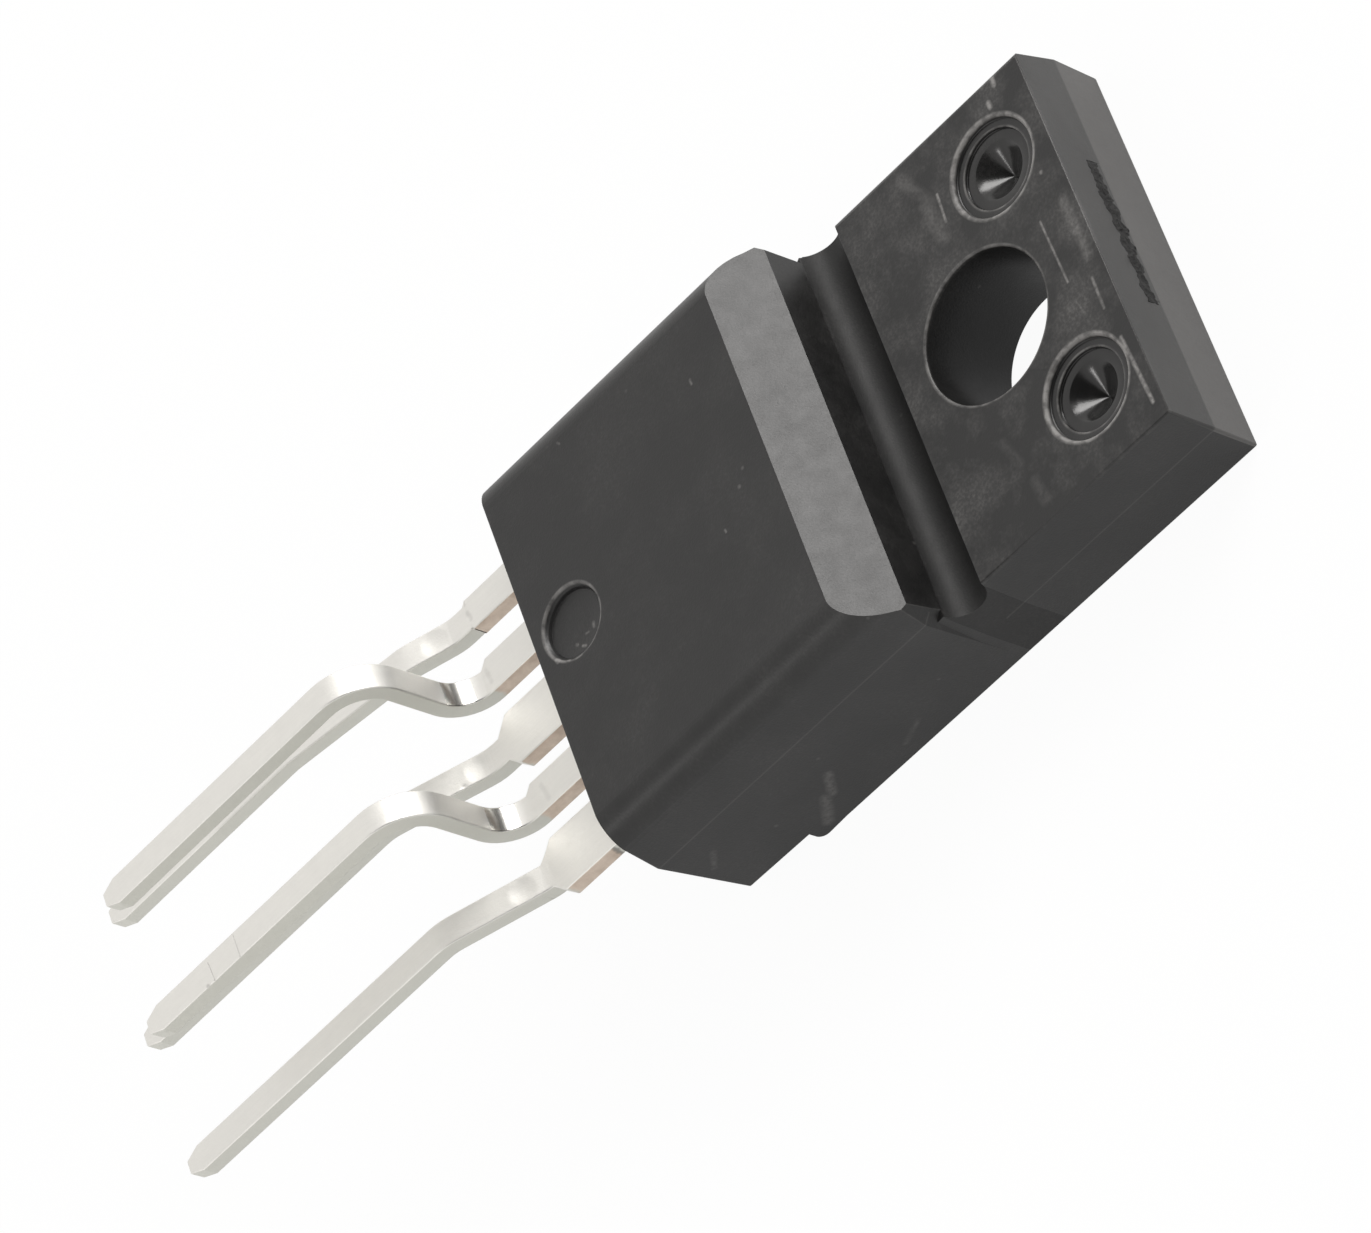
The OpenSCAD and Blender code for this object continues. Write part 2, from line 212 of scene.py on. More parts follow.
# the moulded compound, with its dust and scuffs and its painted highlights and painted reflection; positions
# and sizes in millimetres
compound = {
    "base": 0.0074,
    "baseWarmth": 0.01,
    "dustAndSheen": 0.22,
    "dustAndSheenWarmth": 0.03,
    "roughness": 0.39,
    "pitRoughness": 0.2,
    "grooveRoughness": 0.62,
    "waveRoughness": 0.12,
    "grainRoughness": 0.1,
    "dustAndSheenRoughness": 0.18,
    "endPolish": 0.04,
    "grainSize": 0.045,
    "grainDetail": 2.0,
    "grainHeight": 0.0035,
    "waveScale": 2.2,
    "waveShare": 0.6,
    "scuffShare": 0.8,
    "pitSmoothness": 0.7,
    "tabHeight": 2.59,
    "frontHeight": 4.53,
    "justBelow": 0.03,
    "pitCentres": [(-3.01, 1.6), (3.01, 1.6)],
    "pitRadii": (1.0, 1.06),
    "tabPartingLine": 1.3,
    "bodyPartingLine": 2.89,
    "hairline": (0.008, 0.03),
    "hairlineStrength": 0.1,
    "outsideX": 4.8,
    "leadEndFace": -12.0,
    "wallFoot": -3.0,
    "wallDepth": 0.6,
    "topBand": 0.1,
    "groove": (-3.56, -2.46),
    "tabEndFace": 3.1,
    "endSheen": 0.27,
    "frontHalfSheen": 0.25,
    # dust: noise scales, the spans that they are cut to, and strengths
    "cloudGrain": {"scale": 0.55, "detail": 5.0, "roughness": 0.7},
    "cloudSpan": (0.42, 0.68),
    "cloudOffTab": 0.22,
    "cloudStrength": 0.34,
    "fineDust": (14.0, 3.0, (0.42, 0.7)),
    "leastFineDust": 0.35,
    "speckScale": 1.1,
    "speckSpan": (0.07, 0.02),
    "speckPatches": (0.6, 2.0, (0.5, 0.6)),
    "speckStrength": 0.28,
    "tornScuffs": (9.0, 4.0, (0.36, 0.62)),
    "leastScuff": 0.35,
    "scuffSoftness": 0.8,
    "wearAndSheenPatches": (3.1, 3.0, (0.4, 0.62)),
    "leastWearAndSheen": 0.3,
    "edgeSoftness": 0.9,
    # centre, radius, height, width, strength of the worn rims with their painted highlight
    "wornRimsAndSheen": [
        ((-3.01, 1.6), 1.1, 2.58, 0.19, 1.35),
        ((3.01, 1.6), 1.1, 2.58, 0.19, 1.35),
        ((-3.01, 1.6), 0.89, 2.46, 0.09, 0.5),
        ((3.01, 1.6), 0.89, 2.46, 0.09, 0.5),
        ((0.0, 0.0), 1.68, 2.585, 0.12, 0.5),
        ((-0.12, -10.79), 0.84, 4.52, 0.12, 0.8),
    ],
    # the same for straight edges with their painted highlight: start, end, width, strength
    "wornEdgesAndSheen": [
        ((-4.85, -2.44, 2.56), (-4.85, 3.12, 2.56), 0.12, 0.4),
        ((-4.9, -2.44, 2.58), (4.9, -2.44, 2.58), 0.05, 0.05),
        ((4.8, -3.62, 3.56), (4.72, -3.54, 2.59), 0.05, 0.12),
        ((5.0, -3.82, 2.89), (4.91, -3.73, 3.65), 0.06, 0.14),
    ],
    # start, end, width, strength
    "tabScuffs": [
        ((-1.02, 2.13), (0.66, 2.17), 0.08, 0.8),
        ((-1.03, 2.82), (0.49, 2.85), 0.34, 0.3),
        ((1.01, 2.72), (1.8, 2.7), 0.1, 0.7),
        ((2.66, 2.79), (4.45, 2.88), 0.13, 1.0),
        ((-3.48, 0.14), (-2.77, 0.09), 0.1, 0.9),
        ((1.13, 2.16), (1.52, 2.24), 0.06, 0.25),
        ((-1.98, 2.61), (-1.97, 2.61), 0.12, 0.8),
        ((-4.34, 2.11), (-4.22, 2.12), 0.17, 1.1),
        ((-4.75, 2.41), (-4.6, 2.4), 0.17, 1.1),
        ((-3.5, -0.22), (-2.5, -0.1), 0.5, 0.24),
        ((-4.48, -0.54), (-3.51, -0.1), 0.4, 0.2),
        ((3.88, -0.33), (4.44, -0.29), 0.35, 0.14),
        ((2.6, -0.7), (3.3, -0.5), 0.3, 0.1),
    ],
    "frontScuffs": [
        ((-2.71, -5.86), (-2.6, -5.86), 0.09, 0.5),
        ((0.94, -6.39), (1.0, -6.38), 0.08, 0.45),
        ((-4.01, -9.54), (-3.95, -9.5), 0.08, 0.3),
    ],
    # crumbs in the dimple and rubs on the +X side: start, end, width, strength
    "otherScuffs": [
        ((0.15, -10.41, 4.34), (0.24, -10.43, 4.34), 0.11, 0.6),
        ((0.23, -10.68, 4.34), (0.25, -10.6, 4.34), 0.08, 0.4),
        ((0.28, -11.0, 4.34), (0.3, -10.98, 4.34), 0.1, 0.7),
        ((0.42, -10.86, 4.34), (0.47, -10.79, 4.34), 0.1, 0.7),
        ((0.38, -11.48, 4.5), (0.44, -11.46, 4.5), 0.14, 1.2),
        ((0.57, -11.22, 4.5), (0.62, -11.18, 4.5), 0.1, 0.7),
        ((4.97, -8.3, 1.45), (4.97, -8.75, 0.9), 0.3, 0.3),
        ((4.97, -8.9, 0.95), (4.97, -9.5, 0.3), 0.36, 0.26),
        ((4.97, -6.2, 0.8), (4.97, -6.9, 0.5), 0.2, 0.14),
        ((4.98, -11.2, 2.1), (4.98, -11.6, 1.7), 0.2, 0.16),
    ],
}


def strongest(marks):
    top = marks[0]
    for mark in marks[1:]:
        top = top.atLeast(mark)
    return top


def makeCompound():
    kit = compound
    look = newLook("mouldCompound").measured()
    strokes = flatStrokes(kit["tabScuffs"], kit["tabHeight"])
    strokes += flatStrokes(kit["frontScuffs"], kit["frontHeight"])
    strokes += kit["otherScuffs"]
    marks = strongest([look.stroke(start, end, width, soft=kit["scuffSoftness"]) * strength
                       for start, end, width, strength in strokes])
    scuff = marks * floored(kit["leastScuff"], look.patches(*kit["tornScuffs"]))
    # painted highlights on the rims of the pits, the hole and the dimple and along some edges, partly real
    # wear
    rims = strongest([look.ring(*rim[:4]) * rim[4] for rim in kit["wornRimsAndSheen"]])
    edges = strongest([look.stroke(start, end, width, soft=kit["edgeSoftness"]) * strength
                       for start, end, width, strength in kit["wornEdgesAndSheen"]])
    wearAndSheen = rims.atLeast(edges) * floored(kit["leastWearAndSheen"], look.patches(*kit["wearAndSheenPatches"]))
    # the mould's two halves leave a pale hairline where they met
    onTab = look.ramp(look.y, kit["wallFoot"] - kit["wallDepth"], kit["wallFoot"])
    onTab = onTab * (look.z > kit["tabHeight"] - kit["topBand"])
    lineDrop = kit["tabPartingLine"] - kit["bodyPartingLine"]
    lineHeight = kit["bodyPartingLine"] + lineDrop * (look.y > kit["wallFoot"])
    outside = (abs(look.x) > kit["outsideX"]).atLeast(look.y > kit["tabEndFace"])
    outside = outside.atLeast(look.y < kit["leadEndFace"])
    hairline = (1.0 - look.ramp(abs(look.z - lineHeight), *kit["hairline"])) * outside
    # painted reflection: the tab's end is painted paler, most of all its back half
    line = kit["tabPartingLine"]
    backHalf = 1.0 - look.ramp(look.z, line - kit["justBelow"], line)
    endSheen = (look.y > kit["tabEndFace"]) * floored(kit["frontHalfSheen"], backHalf)
    # faint dust in blotches, more of it on the tab
    cloud = look.ramp(look.grain(**kit["cloudGrain"]), *kit["cloudSpan"])
    blotch = cloud * floored(kit["cloudOffTab"], onTab)
    fine = floored(kit["leastFineDust"], look.patches(*kit["fineDust"]))
    specks = look.ramp(look.cells(kit["speckScale"]), *kit["speckSpan"]) * look.patches(*kit["speckPatches"])
    # the pale mix carries real dust and scuffs and also the painted highlights and the painted reflection
    dustAndSheen = blotch * fine * kit["cloudStrength"] + specks * kit["speckStrength"] + scuff + wearAndSheen
    dustAndSheen = dustAndSheen + hairline * kit["hairlineStrength"] + endSheen * kit["endSheen"]
    dustAndSheen = dustAndSheen.between0and1()
    colour = look.blend(dustAndSheen, grey(kit["base"], kit["baseWarmth"]), grey(kit["dustAndSheen"], kit["dustAndSheenWarmth"]))
    # the pits are smoother than the rest, and the groove is rougher
    below = look.z < kit["tabHeight"] - kit["justBelow"]
    inGroove = (look.y > kit["groove"][0]) * (look.y < kit["groove"][1]) * below
    inPit = strongest([1.0 - look.ramp(look.apart(centre), *kit["pitRadii"]) for centre in kit["pitCentres"]])
    inPit = inPit * below
    grain = look.grain(1 / kit["grainSize"], kit["grainDetail"])
    wave = look.grain(kit["waveScale"], kit["grainDetail"])
    roughness = kit["roughness"] + (wave - 0.5) * kit["waveRoughness"] + (grain - 0.5) * kit["grainRoughness"]
    roughness = roughness + dustAndSheen * kit["dustAndSheenRoughness"]
    roughness = roughness - inPit * (kit["roughness"] - kit["pitRoughness"]) - endSheen * kit["endPolish"]
    roughness = roughness + inGroove * (kit["grooveRoughness"] - kit["roughness"])
    bump = (grain + wave * kit["waveShare"]) * (1.0 - inPit * kit["pitSmoothness"])
    bump = bump + scuff * kit["scuffShare"]
    return look.close(colour, roughness, bump=bump, bumpHeight=kit["grainHeight"])


# the broken surface of the gate
broken = {
    "dark": 0.005,
    "pale": 0.03,
    "warmth": 0.02,
    "coarse": {"scale": 7.0, "detail": 5.0, "roughness": 0.7},
    "fine": {"scale": 40.0, "detail": 3.0},
    "paleSpan": (0.45, 0.75),
    "roughness": 0.66,
    "roughnessSpread": 0.2,
    "grainHeight": 0.03,
}


def makeBrokenCompound():
    kit = broken
    look = newLook("brokenCompound").measured()
    coarse = look.grain(**kit["coarse"])
    pale = look.ramp(coarse, *kit["paleSpan"])
    colour = look.blend(pale, grey(kit["dark"]), grey(kit["pale"], kit["warmth"]))
    roughness = kit["roughness"] + coarse * kit["roughnessSpread"]
    bump = coarse + look.grain(**kit["fine"])
    return look.close(colour, roughness, bump=bump, bumpHeight=kit["grainHeight"])


# the tin plate on the leads, and the bare copper where they were cut
plate = {
    "tin": (0.82, 0.81, 0.775, 1.0),
    "tinShade": (0.6, 0.59, 0.565, 1.0),
    "drawn": {"scale": 6.0, "detail": 3.0},
    "drawnStretch": (3.0, 0.25, 3.0),
    "mottle": {"scale": 3.0, "detail": 4.0, "roughness": 0.6},
    "grain": {"scale": 26.0, "detail": 2.0},
    "level": 0.9,
    "mottleTone": 0.3,
    "drawnTone": 0.2,
    "tinRoughness": 0.52,
    "mottleRoughness": 0.16,
    "grainRoughness": 0.12,
    "bumpHeight": 0.004,
    "grainShare": 0.5,
    "drawnShare": 0.5,
    # where the forming tool has polished the lower bends of leads 2 and 4
    "polishedFrom": (3.12, 3.2),
    "polishedTo": (3.75, 4.1),
    "polishedEnd": (-15.5, -15.3),
    "polishedSpots": [(-1.8, -15.1), (1.6, -14.9)],
    "polishedReach": 1.0,
    "polishedRoughness": 0.25,
    "offSides": (0.0, 0.1),
    "calmed": 0.75,
    "flattened": 0.85,
    # the sideways faces, painted darker as shade, and the bare copper on the shoulders between the two ends
    # of the cut
    "sideSpan": (0.8, 0.95),
    "shadedSideTin": (0.6, 0.6, 0.55, 1.0),
    "sideShadeShare": 0.85,
    "copper": (0.7, 0.6, 0.51, 1.0),
    "copperDark": (0.52, 0.43, 0.355, 1.0),
    "copperRoughness": 0.5,
    "cutFrom": -14.25,
    "cutTo": -12.88,
    "wander": {"scale": 3.0, "detail": 2.0},
    "wanderReach": 0.3,
    "cutFade": (0.08, 0.02, 0.03),
    "shadeReach": 0.5,
    "shadeShare": 0.25,
    "stainAndShadeSpan": (0.35, 0.85),
    "burr": (0.02, 0.08),
    "burrShare": 0.7,
    "burrColour": grey(0.16, 0.08),
    "dentShadeTone": 0.4,
    "dentShadeColour": grey(0.3, 0.02),
    "dentSoftness": 0.7,
    "dentHeight": 2.5,
    # start, end, width, strength of small dents, each also painted darker as shade
    "dents": [
        ((-3.6, -14.3, 3.1), (-3.4, -14.26, 3.1), 0.16, 0.5),
        ((-2.05, -14.35, 3.1), (-1.7, -14.31, 3.1), 0.16, 0.3),
        ((1.35, -14.01, 3.1), (1.75, -13.93, 3.1), 0.18, 0.3),
        ((0.1, -15.74, 3.6), (0.3, -15.66, 3.6), 0.16, 1.0),
        ((1.43, -21.39, 6.28), (1.91, -21.35, 6.28), 0.05, 0.7),
        ((1.34, -20.51, 6.28), (1.95, -20.5, 6.28), 0.05, 0.6),
        ((1.9, -21.57, 6.28), (1.92, -21.57, 6.28), 0.12, 1.0),
    ],
}


def makeTinPlate():
    kit = plate
    look = newLook("tinPlate").measured()
    drawn = look.grain(**kit["drawn"], vector=look.stretched(look.place, kit["drawnStretch"]))
    mottle = look.grain(**kit["mottle"])
    grain = look.grain(**kit["grain"])
    level = kit["level"] + (mottle - 0.5) * kit["mottleTone"] + (drawn - 0.5) * kit["drawnTone"]
    tin = look.blend(level.between0and1(), kit["tinShade"], kit["tin"])
    surface = look.out(look.add("ShaderNodeNewGeometry"), "True Normal")
    normal = look.add("ShaderNodeSeparateXYZ", inputs={"Vector": surface})
    sideways = look.ramp(abs(look.out(normal, "X")), *kit["sideSpan"])
    polished = look.ramp(look.z, *kit["polishedFrom"]) * (1.0 - look.ramp(look.z, *kit["polishedTo"]))
    polished = polished * look.ramp(look.y, *kit["polishedEnd"])
    near = [look.apart(spot) for spot in kit["polishedSpots"]]
    polished = polished * (near[0].atMost(near[1]) < kit["polishedReach"])
    polished = polished * (1.0 - look.ramp(sideways, *kit["offSides"]))
    spread = (mottle - 0.5) * kit["mottleRoughness"] + (grain - 0.5) * kit["grainRoughness"]
    roughness = kit["tinRoughness"] + spread * (1.0 - polished * kit["calmed"])
    roughness = roughness - polished * (kit["tinRoughness"] - kit["polishedRoughness"])
    bump = grain * kit["grainShare"] + drawn * kit["drawnShare"] + mottle
    for start, end, width, strength in kit["dents"]:
        dent = look.stroke(start, end, width, soft=kit["dentSoftness"]) * strength
        # painted shade: each dent is painted darker as well as pressed in by the bump
        tin = look.blend(dent * kit["dentShadeTone"], tin, kit["dentShadeColour"])
        bump = bump - dent * kit["dentHeight"]
    # the copper starts at a soft edge and ends at a dark burr near the moulding
    edge = look.y + (look.grain(**kit["wander"]) - 0.5) * kit["wanderReach"]
    before, after, end = kit["cutFade"]
    cut = sideways * look.ramp(edge, kit["cutFrom"] - before, kit["cutFrom"] + after)
    cut = cut * (1.0 - look.ramp(edge, kit["cutTo"] - end, kit["cutTo"] + end))
    # painted shade: the copper is painted darker over its last half millimetre before the moulding, on top of
    # its mottled darkening
    late = look.ramp(look.y, kit["cutTo"] - kit["shadeReach"], kit["cutTo"])
    stainAndShade = look.ramp(mottle + late * kit["shadeShare"], *kit["stainAndShadeSpan"])
    burr = sideways * (1.0 - look.ramp(abs(edge - kit["cutTo"] - kit["burr"][0]), *kit["burr"]))
    # painted shade: every sideways face is painted a darker tin
    tin = look.blend(sideways * kit["sideShadeShare"], tin, kit["shadedSideTin"])
    tin = look.blend(cut, tin, look.blend(stainAndShade, kit["copper"], kit["copperDark"]))
    tin = look.blend(burr * kit["burrShare"], tin, kit["burrColour"])
    roughness = roughness + cut * (kit["copperRoughness"] - kit["tinRoughness"])
    bump = bump * (1.0 - polished * kit["flattened"])
    return look.close(tin, roughness, bump=bump, bumpHeight=kit["bumpHeight"], metallic=1.0)


# parts inside the moulding: noise scale and detail, two tones, roughness and its spread
inside = {
    "dieSolder": {
        "grain": (5.0, 4.0),
        "tones": (grey(0.4), grey(0.5)),
        "roughness": (0.35, 0.2),
        "relief": 0.01,
        "metallic": 1.0,
    },
    "chipSilicon": {
        "grain": (2.0, 2.0),
        "tones": ((0.1, 0.1, 0.13, 1.0), (0.14, 0.13, 0.17, 1.0)),
        "roughness": (0.12, 0.1),
        "relief": None,
        "metallic": 0.4,
    },
    "aluminiumWire": {
        "grain": (30.0, 2.0),
        "tones": (grey(0.68), grey(0.8)),
        "roughness": (0.25, 0.1),
        "relief": 0.002,
        "metallic": 1.0,
    },
}


def makeInside(name):
    kit = inside[name]
    look = newLook(name).measured()
    mottle = look.grain(*kit["grain"])
    colour = look.blend(mottle, *kit["tones"])
    level, spread = kit["roughness"]
    relief = {"bump": mottle, "bumpHeight": kit["relief"]} if kit["relief"] else {}
    return look.close(colour, level + mottle * spread, metallic=kit["metallic"], **relief)


mouldLook = makeCompound()
brokenLook = makeBrokenCompound()
tinLook = makeTinPlate()
solderLook = makeInside("dieSolder")
siliconLook = makeInside("chipSilicon")
wireLook = makeInside("aluminiumWire")
print("finishes made")


def dress(thing, material):
    if not thing.data.materials:
        thing.data.materials.append(material)
    for slot in thing.material_slots:
        slot.link = "DATA"
        slot.material = material


def place(name, mesh, material):
    piece = bpy.data.objects.new(name, mesh)
    sheet.objects.link(piece)
    dress(piece, material)
    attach(piece, "root")
    return piece


# the broken gate on the end of the tab, where the compound came in
gate = {
    "left": -2.2,
    "right": 1.7,
    "low": 1.3,
    "high": 1.64,
    "patchHigh": 1.77,
    "lift": 0.01,
    "face": 3.18,
    "lean": 0.0437,
    "columns": 200,
    "rows": 26,
    "proud": 0.03,
    "least": 0.004,
    "hidden": 0.012,
    "buried": 0.08,
    "ruggedness": 0.09,
    "chipShare": 0.5,
    "crumbShare": 0.25,
    # noise: its stretch in x and z, and a third place that picks the pattern
    "chipNoise": (3.2, 5.0, 1.7),
    "chipFractal": (0.8, 2.1, 4),
    "crumbNoise": (14.0, 14.0, 4.2),
    "raggedNoise": [((4.0, 2.0, 9.1), 0.3), ((11.0, 6.0, 3.3), 0.2)],
    # the ragged border: how it thins out at the ends and along the sides
    "ends": (10, 1.5),
    "endSlope": 60,
    "sides": (2.2, 0.72, 2.8),
    "taper": 0.75,
    "taperSlope": 5,
    "cutOff": 0.1,
    # the cutter for the plain stub: margin, foot, skin and reach
    "stubMargin": 0.1,
    "stubFoot": 0.003,
    "stubSkin": 0.0015,
    "stubReach": 0.5,
}


# round cuts that are made afresh, finer than the CAD's
# outline: radius and depth below the face, from the rim inwards
pit = {
    "centres": [(-3.01, 1.6), (3.01, 1.6)],
    "face": 2.59,
    "outline": [(1.15, 0.0), (1.12, 0.008), (1.095, 0.026), (1.078, 0.055), (1.075, 0.12), (1.06, 0.134),
                (0.9, 0.134), (0.885, 0.14), (0.876, 0.155), (0.873, 0.2), (0.862, 0.213), (0.66, 0.213),
                (0.635, 0.222), (0.5, 0.327), (0.3, 0.477), (0.12, 0.611), (0.03, 0.679), (0.0, 0.7)],
}
screwHole = {
    "centres": [(0.0, 0.0)],
    "face": 2.59,
    "outline": [(1.71, 0.0), (1.685, 0.008), (1.667, 0.026), (1.66, 0.05), (1.66, 2.56), (1.668, 2.58),
                (1.69, 2.59), (1.69, 3.2), (0.0, 3.2)],
}
dimple = {
    "centres": [(-0.12, -10.79)],
    "face": 4.53,
    "outline": [(0.875, 0.0), (0.855, 0.006), (0.835, 0.02), (0.77, 0.085), (0.757, 0.11), (0.752, 0.165),
                (0.742, 0.185), (0.72, 0.194), (0.3, 0.196), (0.0, 0.196)],
}
roundCuts = {"turns": 112, "headroom": 0.4}


def latheCutter(name, kit, centre):
    work = bmesh.new()
    turns = roundCuts["turns"]
    outline = [(kit["outline"][0][0], -roundCuts["headroom"])] + kit["outline"]
    rings = []
    for radius, depth in outline:
        z = (kit["face"] - depth) * mm
        around = [2 * math.pi * k / turns for k in range(turns if radius else 1)]
        places = [((centre[0] + radius * math.cos(a)) * mm, (centre[1] + radius * math.sin(a)) * mm, z)
                  for a in around]
        rings.append([work.verts.new(spot) for spot in places])
    for upper, lower in zip(rings, rings[1:]):
        for k in range(turns):
            after = (k + 1) % turns
            if len(lower) == 1:
                work.faces.new((upper[k], upper[after], lower[0]))
            else:
                work.faces.new((upper[k], upper[after], lower[after], lower[k]))
    work.faces.new(rings[0])
    bmesh.ops.recalc_face_normals(work, faces=work.faces)
    return finishedCutter(name, work)


def finishedCutter(name, work):
    mesh = bpy.data.meshes.new(name)
    work.to_mesh(mesh)
    work.free()
    cutter = bpy.data.objects.new(name, mesh)
    sheet.objects.link(cutter)
    return cutter


# takes the CAD's plain gate stub off, flush with the tab's end, where the broken one goes
def stubCutter():
    work = bmesh.new()
    bmesh.ops.create_cube(work, size=1.0)
    left, right = gate["left"] - gate["stubMargin"], gate["right"] + gate["stubMargin"]
    low, high = gate["low"] + gate["stubFoot"], gate["high"] + gate["stubMargin"]
    for vert in work.verts:
        z = low if vert.co.z < 0 else high
        near = gate["face"] - (z - gate["low"]) * gate["lean"] + gate["stubSkin"]
        y = near if vert.co.y < 0 else gate["face"] + gate["stubReach"]
        vert.co = Vector((left if vert.co.x < 0 else right, y, z)) * mm
    return finishedCutter("gateStub", work)


# the shape left after the cutters; they are removed again
def carved(mesh, cutters):
    block = bpy.data.objects.new("block", mesh)
    sheet.objects.link(block)
    for cutter in cutters:
        cut = block.modifiers.new("cut", "BOOLEAN")
        cut.operation = "DIFFERENCE"
        cut.solver = "EXACT"
        cut.object = cutter
    bpy.context.view_layer.update()
    done = bpy.data.meshes.new_from_object(block.evaluated_get(bpy.context.evaluated_depsgraph_get()))
    for spent in [block, *cutters]:
        bpy.data.objects.remove(spent, do_unlink=True)
    return done


# worn edges and the forming tool's small press marks: place, half width and depth of each mark
def leadKit(piece, presses):
    return {"piece": piece, "width": 0.035, "join": 0.0002, "slot": "tinned_copper", "presses": presses}


softening = {
    "moulded_body": {"piece": "moulded_housing", "width": 0.045, "join": 0.004, "slot": "mould_compound",
                     "presses": []},
    "centre_lead": leadKit("plated_lead_3", [((-0.08, -15.3), 0.36, 0.028), ((0.2, -15.7), 0.1, 0.02)]),
    "lead_1": leadKit("plated_lead_1", [((-3.48, -15.26), 0.36, 0.028), ((-3.5, -14.28), 0.11, 0.015)]),
    "lead_2": leadKit("plated_lead_2", [((-1.86, -14.33), 0.14, 0.012)]),
    "lead_4": leadKit("plated_lead_4", [((1.54, -13.97), 0.15, 0.012)]),
    "lead_5": leadKit("plated_lead_5", [((3.33, -15.2), 0.36, 0.028)]),
}
pressMesh = {
    "cell": 0.035,
    "above": 12.0,
    "nearEdge": 0.06,
    "spread": 1.1,
    "alongLead": 1.15,
    "facingUp": 0.2,
    "snap": 0.004,
    "skin": 0.12,
    "level": 0.8,
    "roundness": 1.5,
}
# which edges of the moulding are worn round: none inside it, at the leads or beside the groove's ends
edgeRules = {
    "segments": 3,
    "sharp": 28,
    "shortest": 0.3,
    "flat": 0.4,
    "wallFoot": (-3.536, 2.6),
    "footReach": (0.012, 0.07),
    "footJoin": 0.02,
    "insideX": 4.3,
    "insideY": (-12.2, 2.4),
    "insideZ": (0.5, 3.25),
    "grooveEndX": 4.6,
    "grooveEndY": (-4.1, -3.3),
    "crispY": 3.05,
    "crispZ": 2.5,
    "crispWear": 0.35,
    "carvedJoin": 0.0002,
}


def cleaned(mesh, join):
    rules = edgeRules
    work = bmesh.new()
    work.from_mesh(mesh)
    bmesh.ops.remove_doubles(work, verts=work.verts, dist=join * mm)
    # the groove and the wall's foot meet in a sliver, which is closed to one line
    y, z = (value * mm for value in rules["wallFoot"])
    reachY, reachZ = (value * mm for value in rules["footReach"])
    foot = [vert for vert in work.verts if abs(vert.co.y - y) < reachY and abs(vert.co.z - z) < reachZ]
    for vert in foot:
        vert.co.y, vert.co.z = y, z
    bmesh.ops.remove_doubles(work, verts=foot, dist=rules["footJoin"] * mm)
    flat = math.radians(rules["flat"])
    bmesh.ops.dissolve_limit(work, angle_limit=flat, verts=work.verts, edges=work.edges)
    return work


# cuts the faces at one place on an axis and returns them all
def parted(work, faces, axis, at):
    point, normal = Vector((0, 0, 0)), Vector((0, 0, 0))
    point[axis] = at * mm
    normal[axis] = 1.0
    parts = list(faces)
    for face in faces:
        parts += [*face.edges, *face.verts]
    cut = bmesh.ops.bisect_plane(work, geom=list(dict.fromkeys(parts)), dist=pressMesh["snap"] * mm,
                                 plane_co=point, plane_no=normal)
    return [part for part in cut["geom"] if isinstance(part, bmesh.types.BMFace)]


# a finer mesh round each press mark, then the mark pushed in
def pressed(work, presses):
    kit = pressMesh
    for spot, half, depth in presses:
        steps = math.ceil(half * kit["spread"] / kit["cell"])
        across = list(work.faces)
        for k in range(-steps, steps + 1):
            across = parted(work, across, 1, spot[1] + k * kit["cell"])
        atMark = [face for face in work.faces if face.normal.z > kit["facingUp"]
                  and abs(face.calc_center_median().y / mm - spot[1]) < half * kit["alongLead"]]
        sides = [vert.co.x / mm for face in atMark for vert in face.verts]
        for k in range(-steps, steps + 1):
            at = spot[0] + k * kit["cell"]
            if min(sides) + kit["nearEdge"] < at < max(sides) - kit["nearEdge"]:
                atMark = parted(work, atMark, 0, at)
        work.normal_update()
        start = Vector((spot[0], spot[1], kit["above"])) * mm
        middle, up, *rest = BVHTree.FromBMesh(work).ray_cast(start, Vector((0, 0, -1)))
        for vert in work.verts:
            gap = vert.co - middle
            gap -= up * gap.dot(up)
            part = gap.length / (half * mm)
            outer = (vert.co - middle).dot(up) > -kit["skin"] * mm
            if part < 1 and outer and vert.normal.dot(up) > kit["level"]:
                vert.co -= up * depth * mm * (1 - part * part) ** kit["roundness"]


def houseEdge(edge):
    rules = edgeRules
    if len(edge.link_faces) != 2 or not edge.is_convex or edge.calc_length() < rules["shortest"] * mm:
        return False
    if edge.calc_face_angle() < math.radians(rules["sharp"]):
        return False
    low, high = (value * mm for value in rules["grooveEndY"])
    if all(abs(end.co.x) > rules["grooveEndX"] * mm and low < end.co.y < high for end in edge.verts):
        return False
    for end in edge.verts:
        x, y, z = (value / mm for value in end.co)
        within = abs(x) < rules["insideX"] and rules["insideY"][0] < y < rules["insideY"][1]
        if not (within and rules["insideZ"][0] < z < rules["insideZ"][1]):
            return True
    return False


# the edge along the end of the tab is crisper than the others
def edgeWear(edge):
    rules = edgeRules
    crisp = all(end.co.y > rules["crispY"] * mm and end.co.z > rules["crispZ"] * mm for end in edge.verts)
    return rules["crispWear"] if crisp else 1.0


# the moulding with its round cuts made afresh and without the plain stub
def recut(work, name):
    mesh = bpy.data.meshes.new("uncut")
    work.to_mesh(mesh)
    work.free()
    cuts = (("pit", pit), ("screwHole", screwHole), ("dimple", dimple))
    cutters = [latheCutter(cutName, cut, centre) for cutName, cut in cuts for centre in cut["centres"]]
    mesh = carved(mesh, [*cutters, stubCutter()])
    mesh.name = name
    work = bmesh.new()
    work.from_mesh(mesh)
    bmesh.ops.remove_doubles(work, verts=work.verts, dist=edgeRules["carvedJoin"] * mm)
    return mesh, work


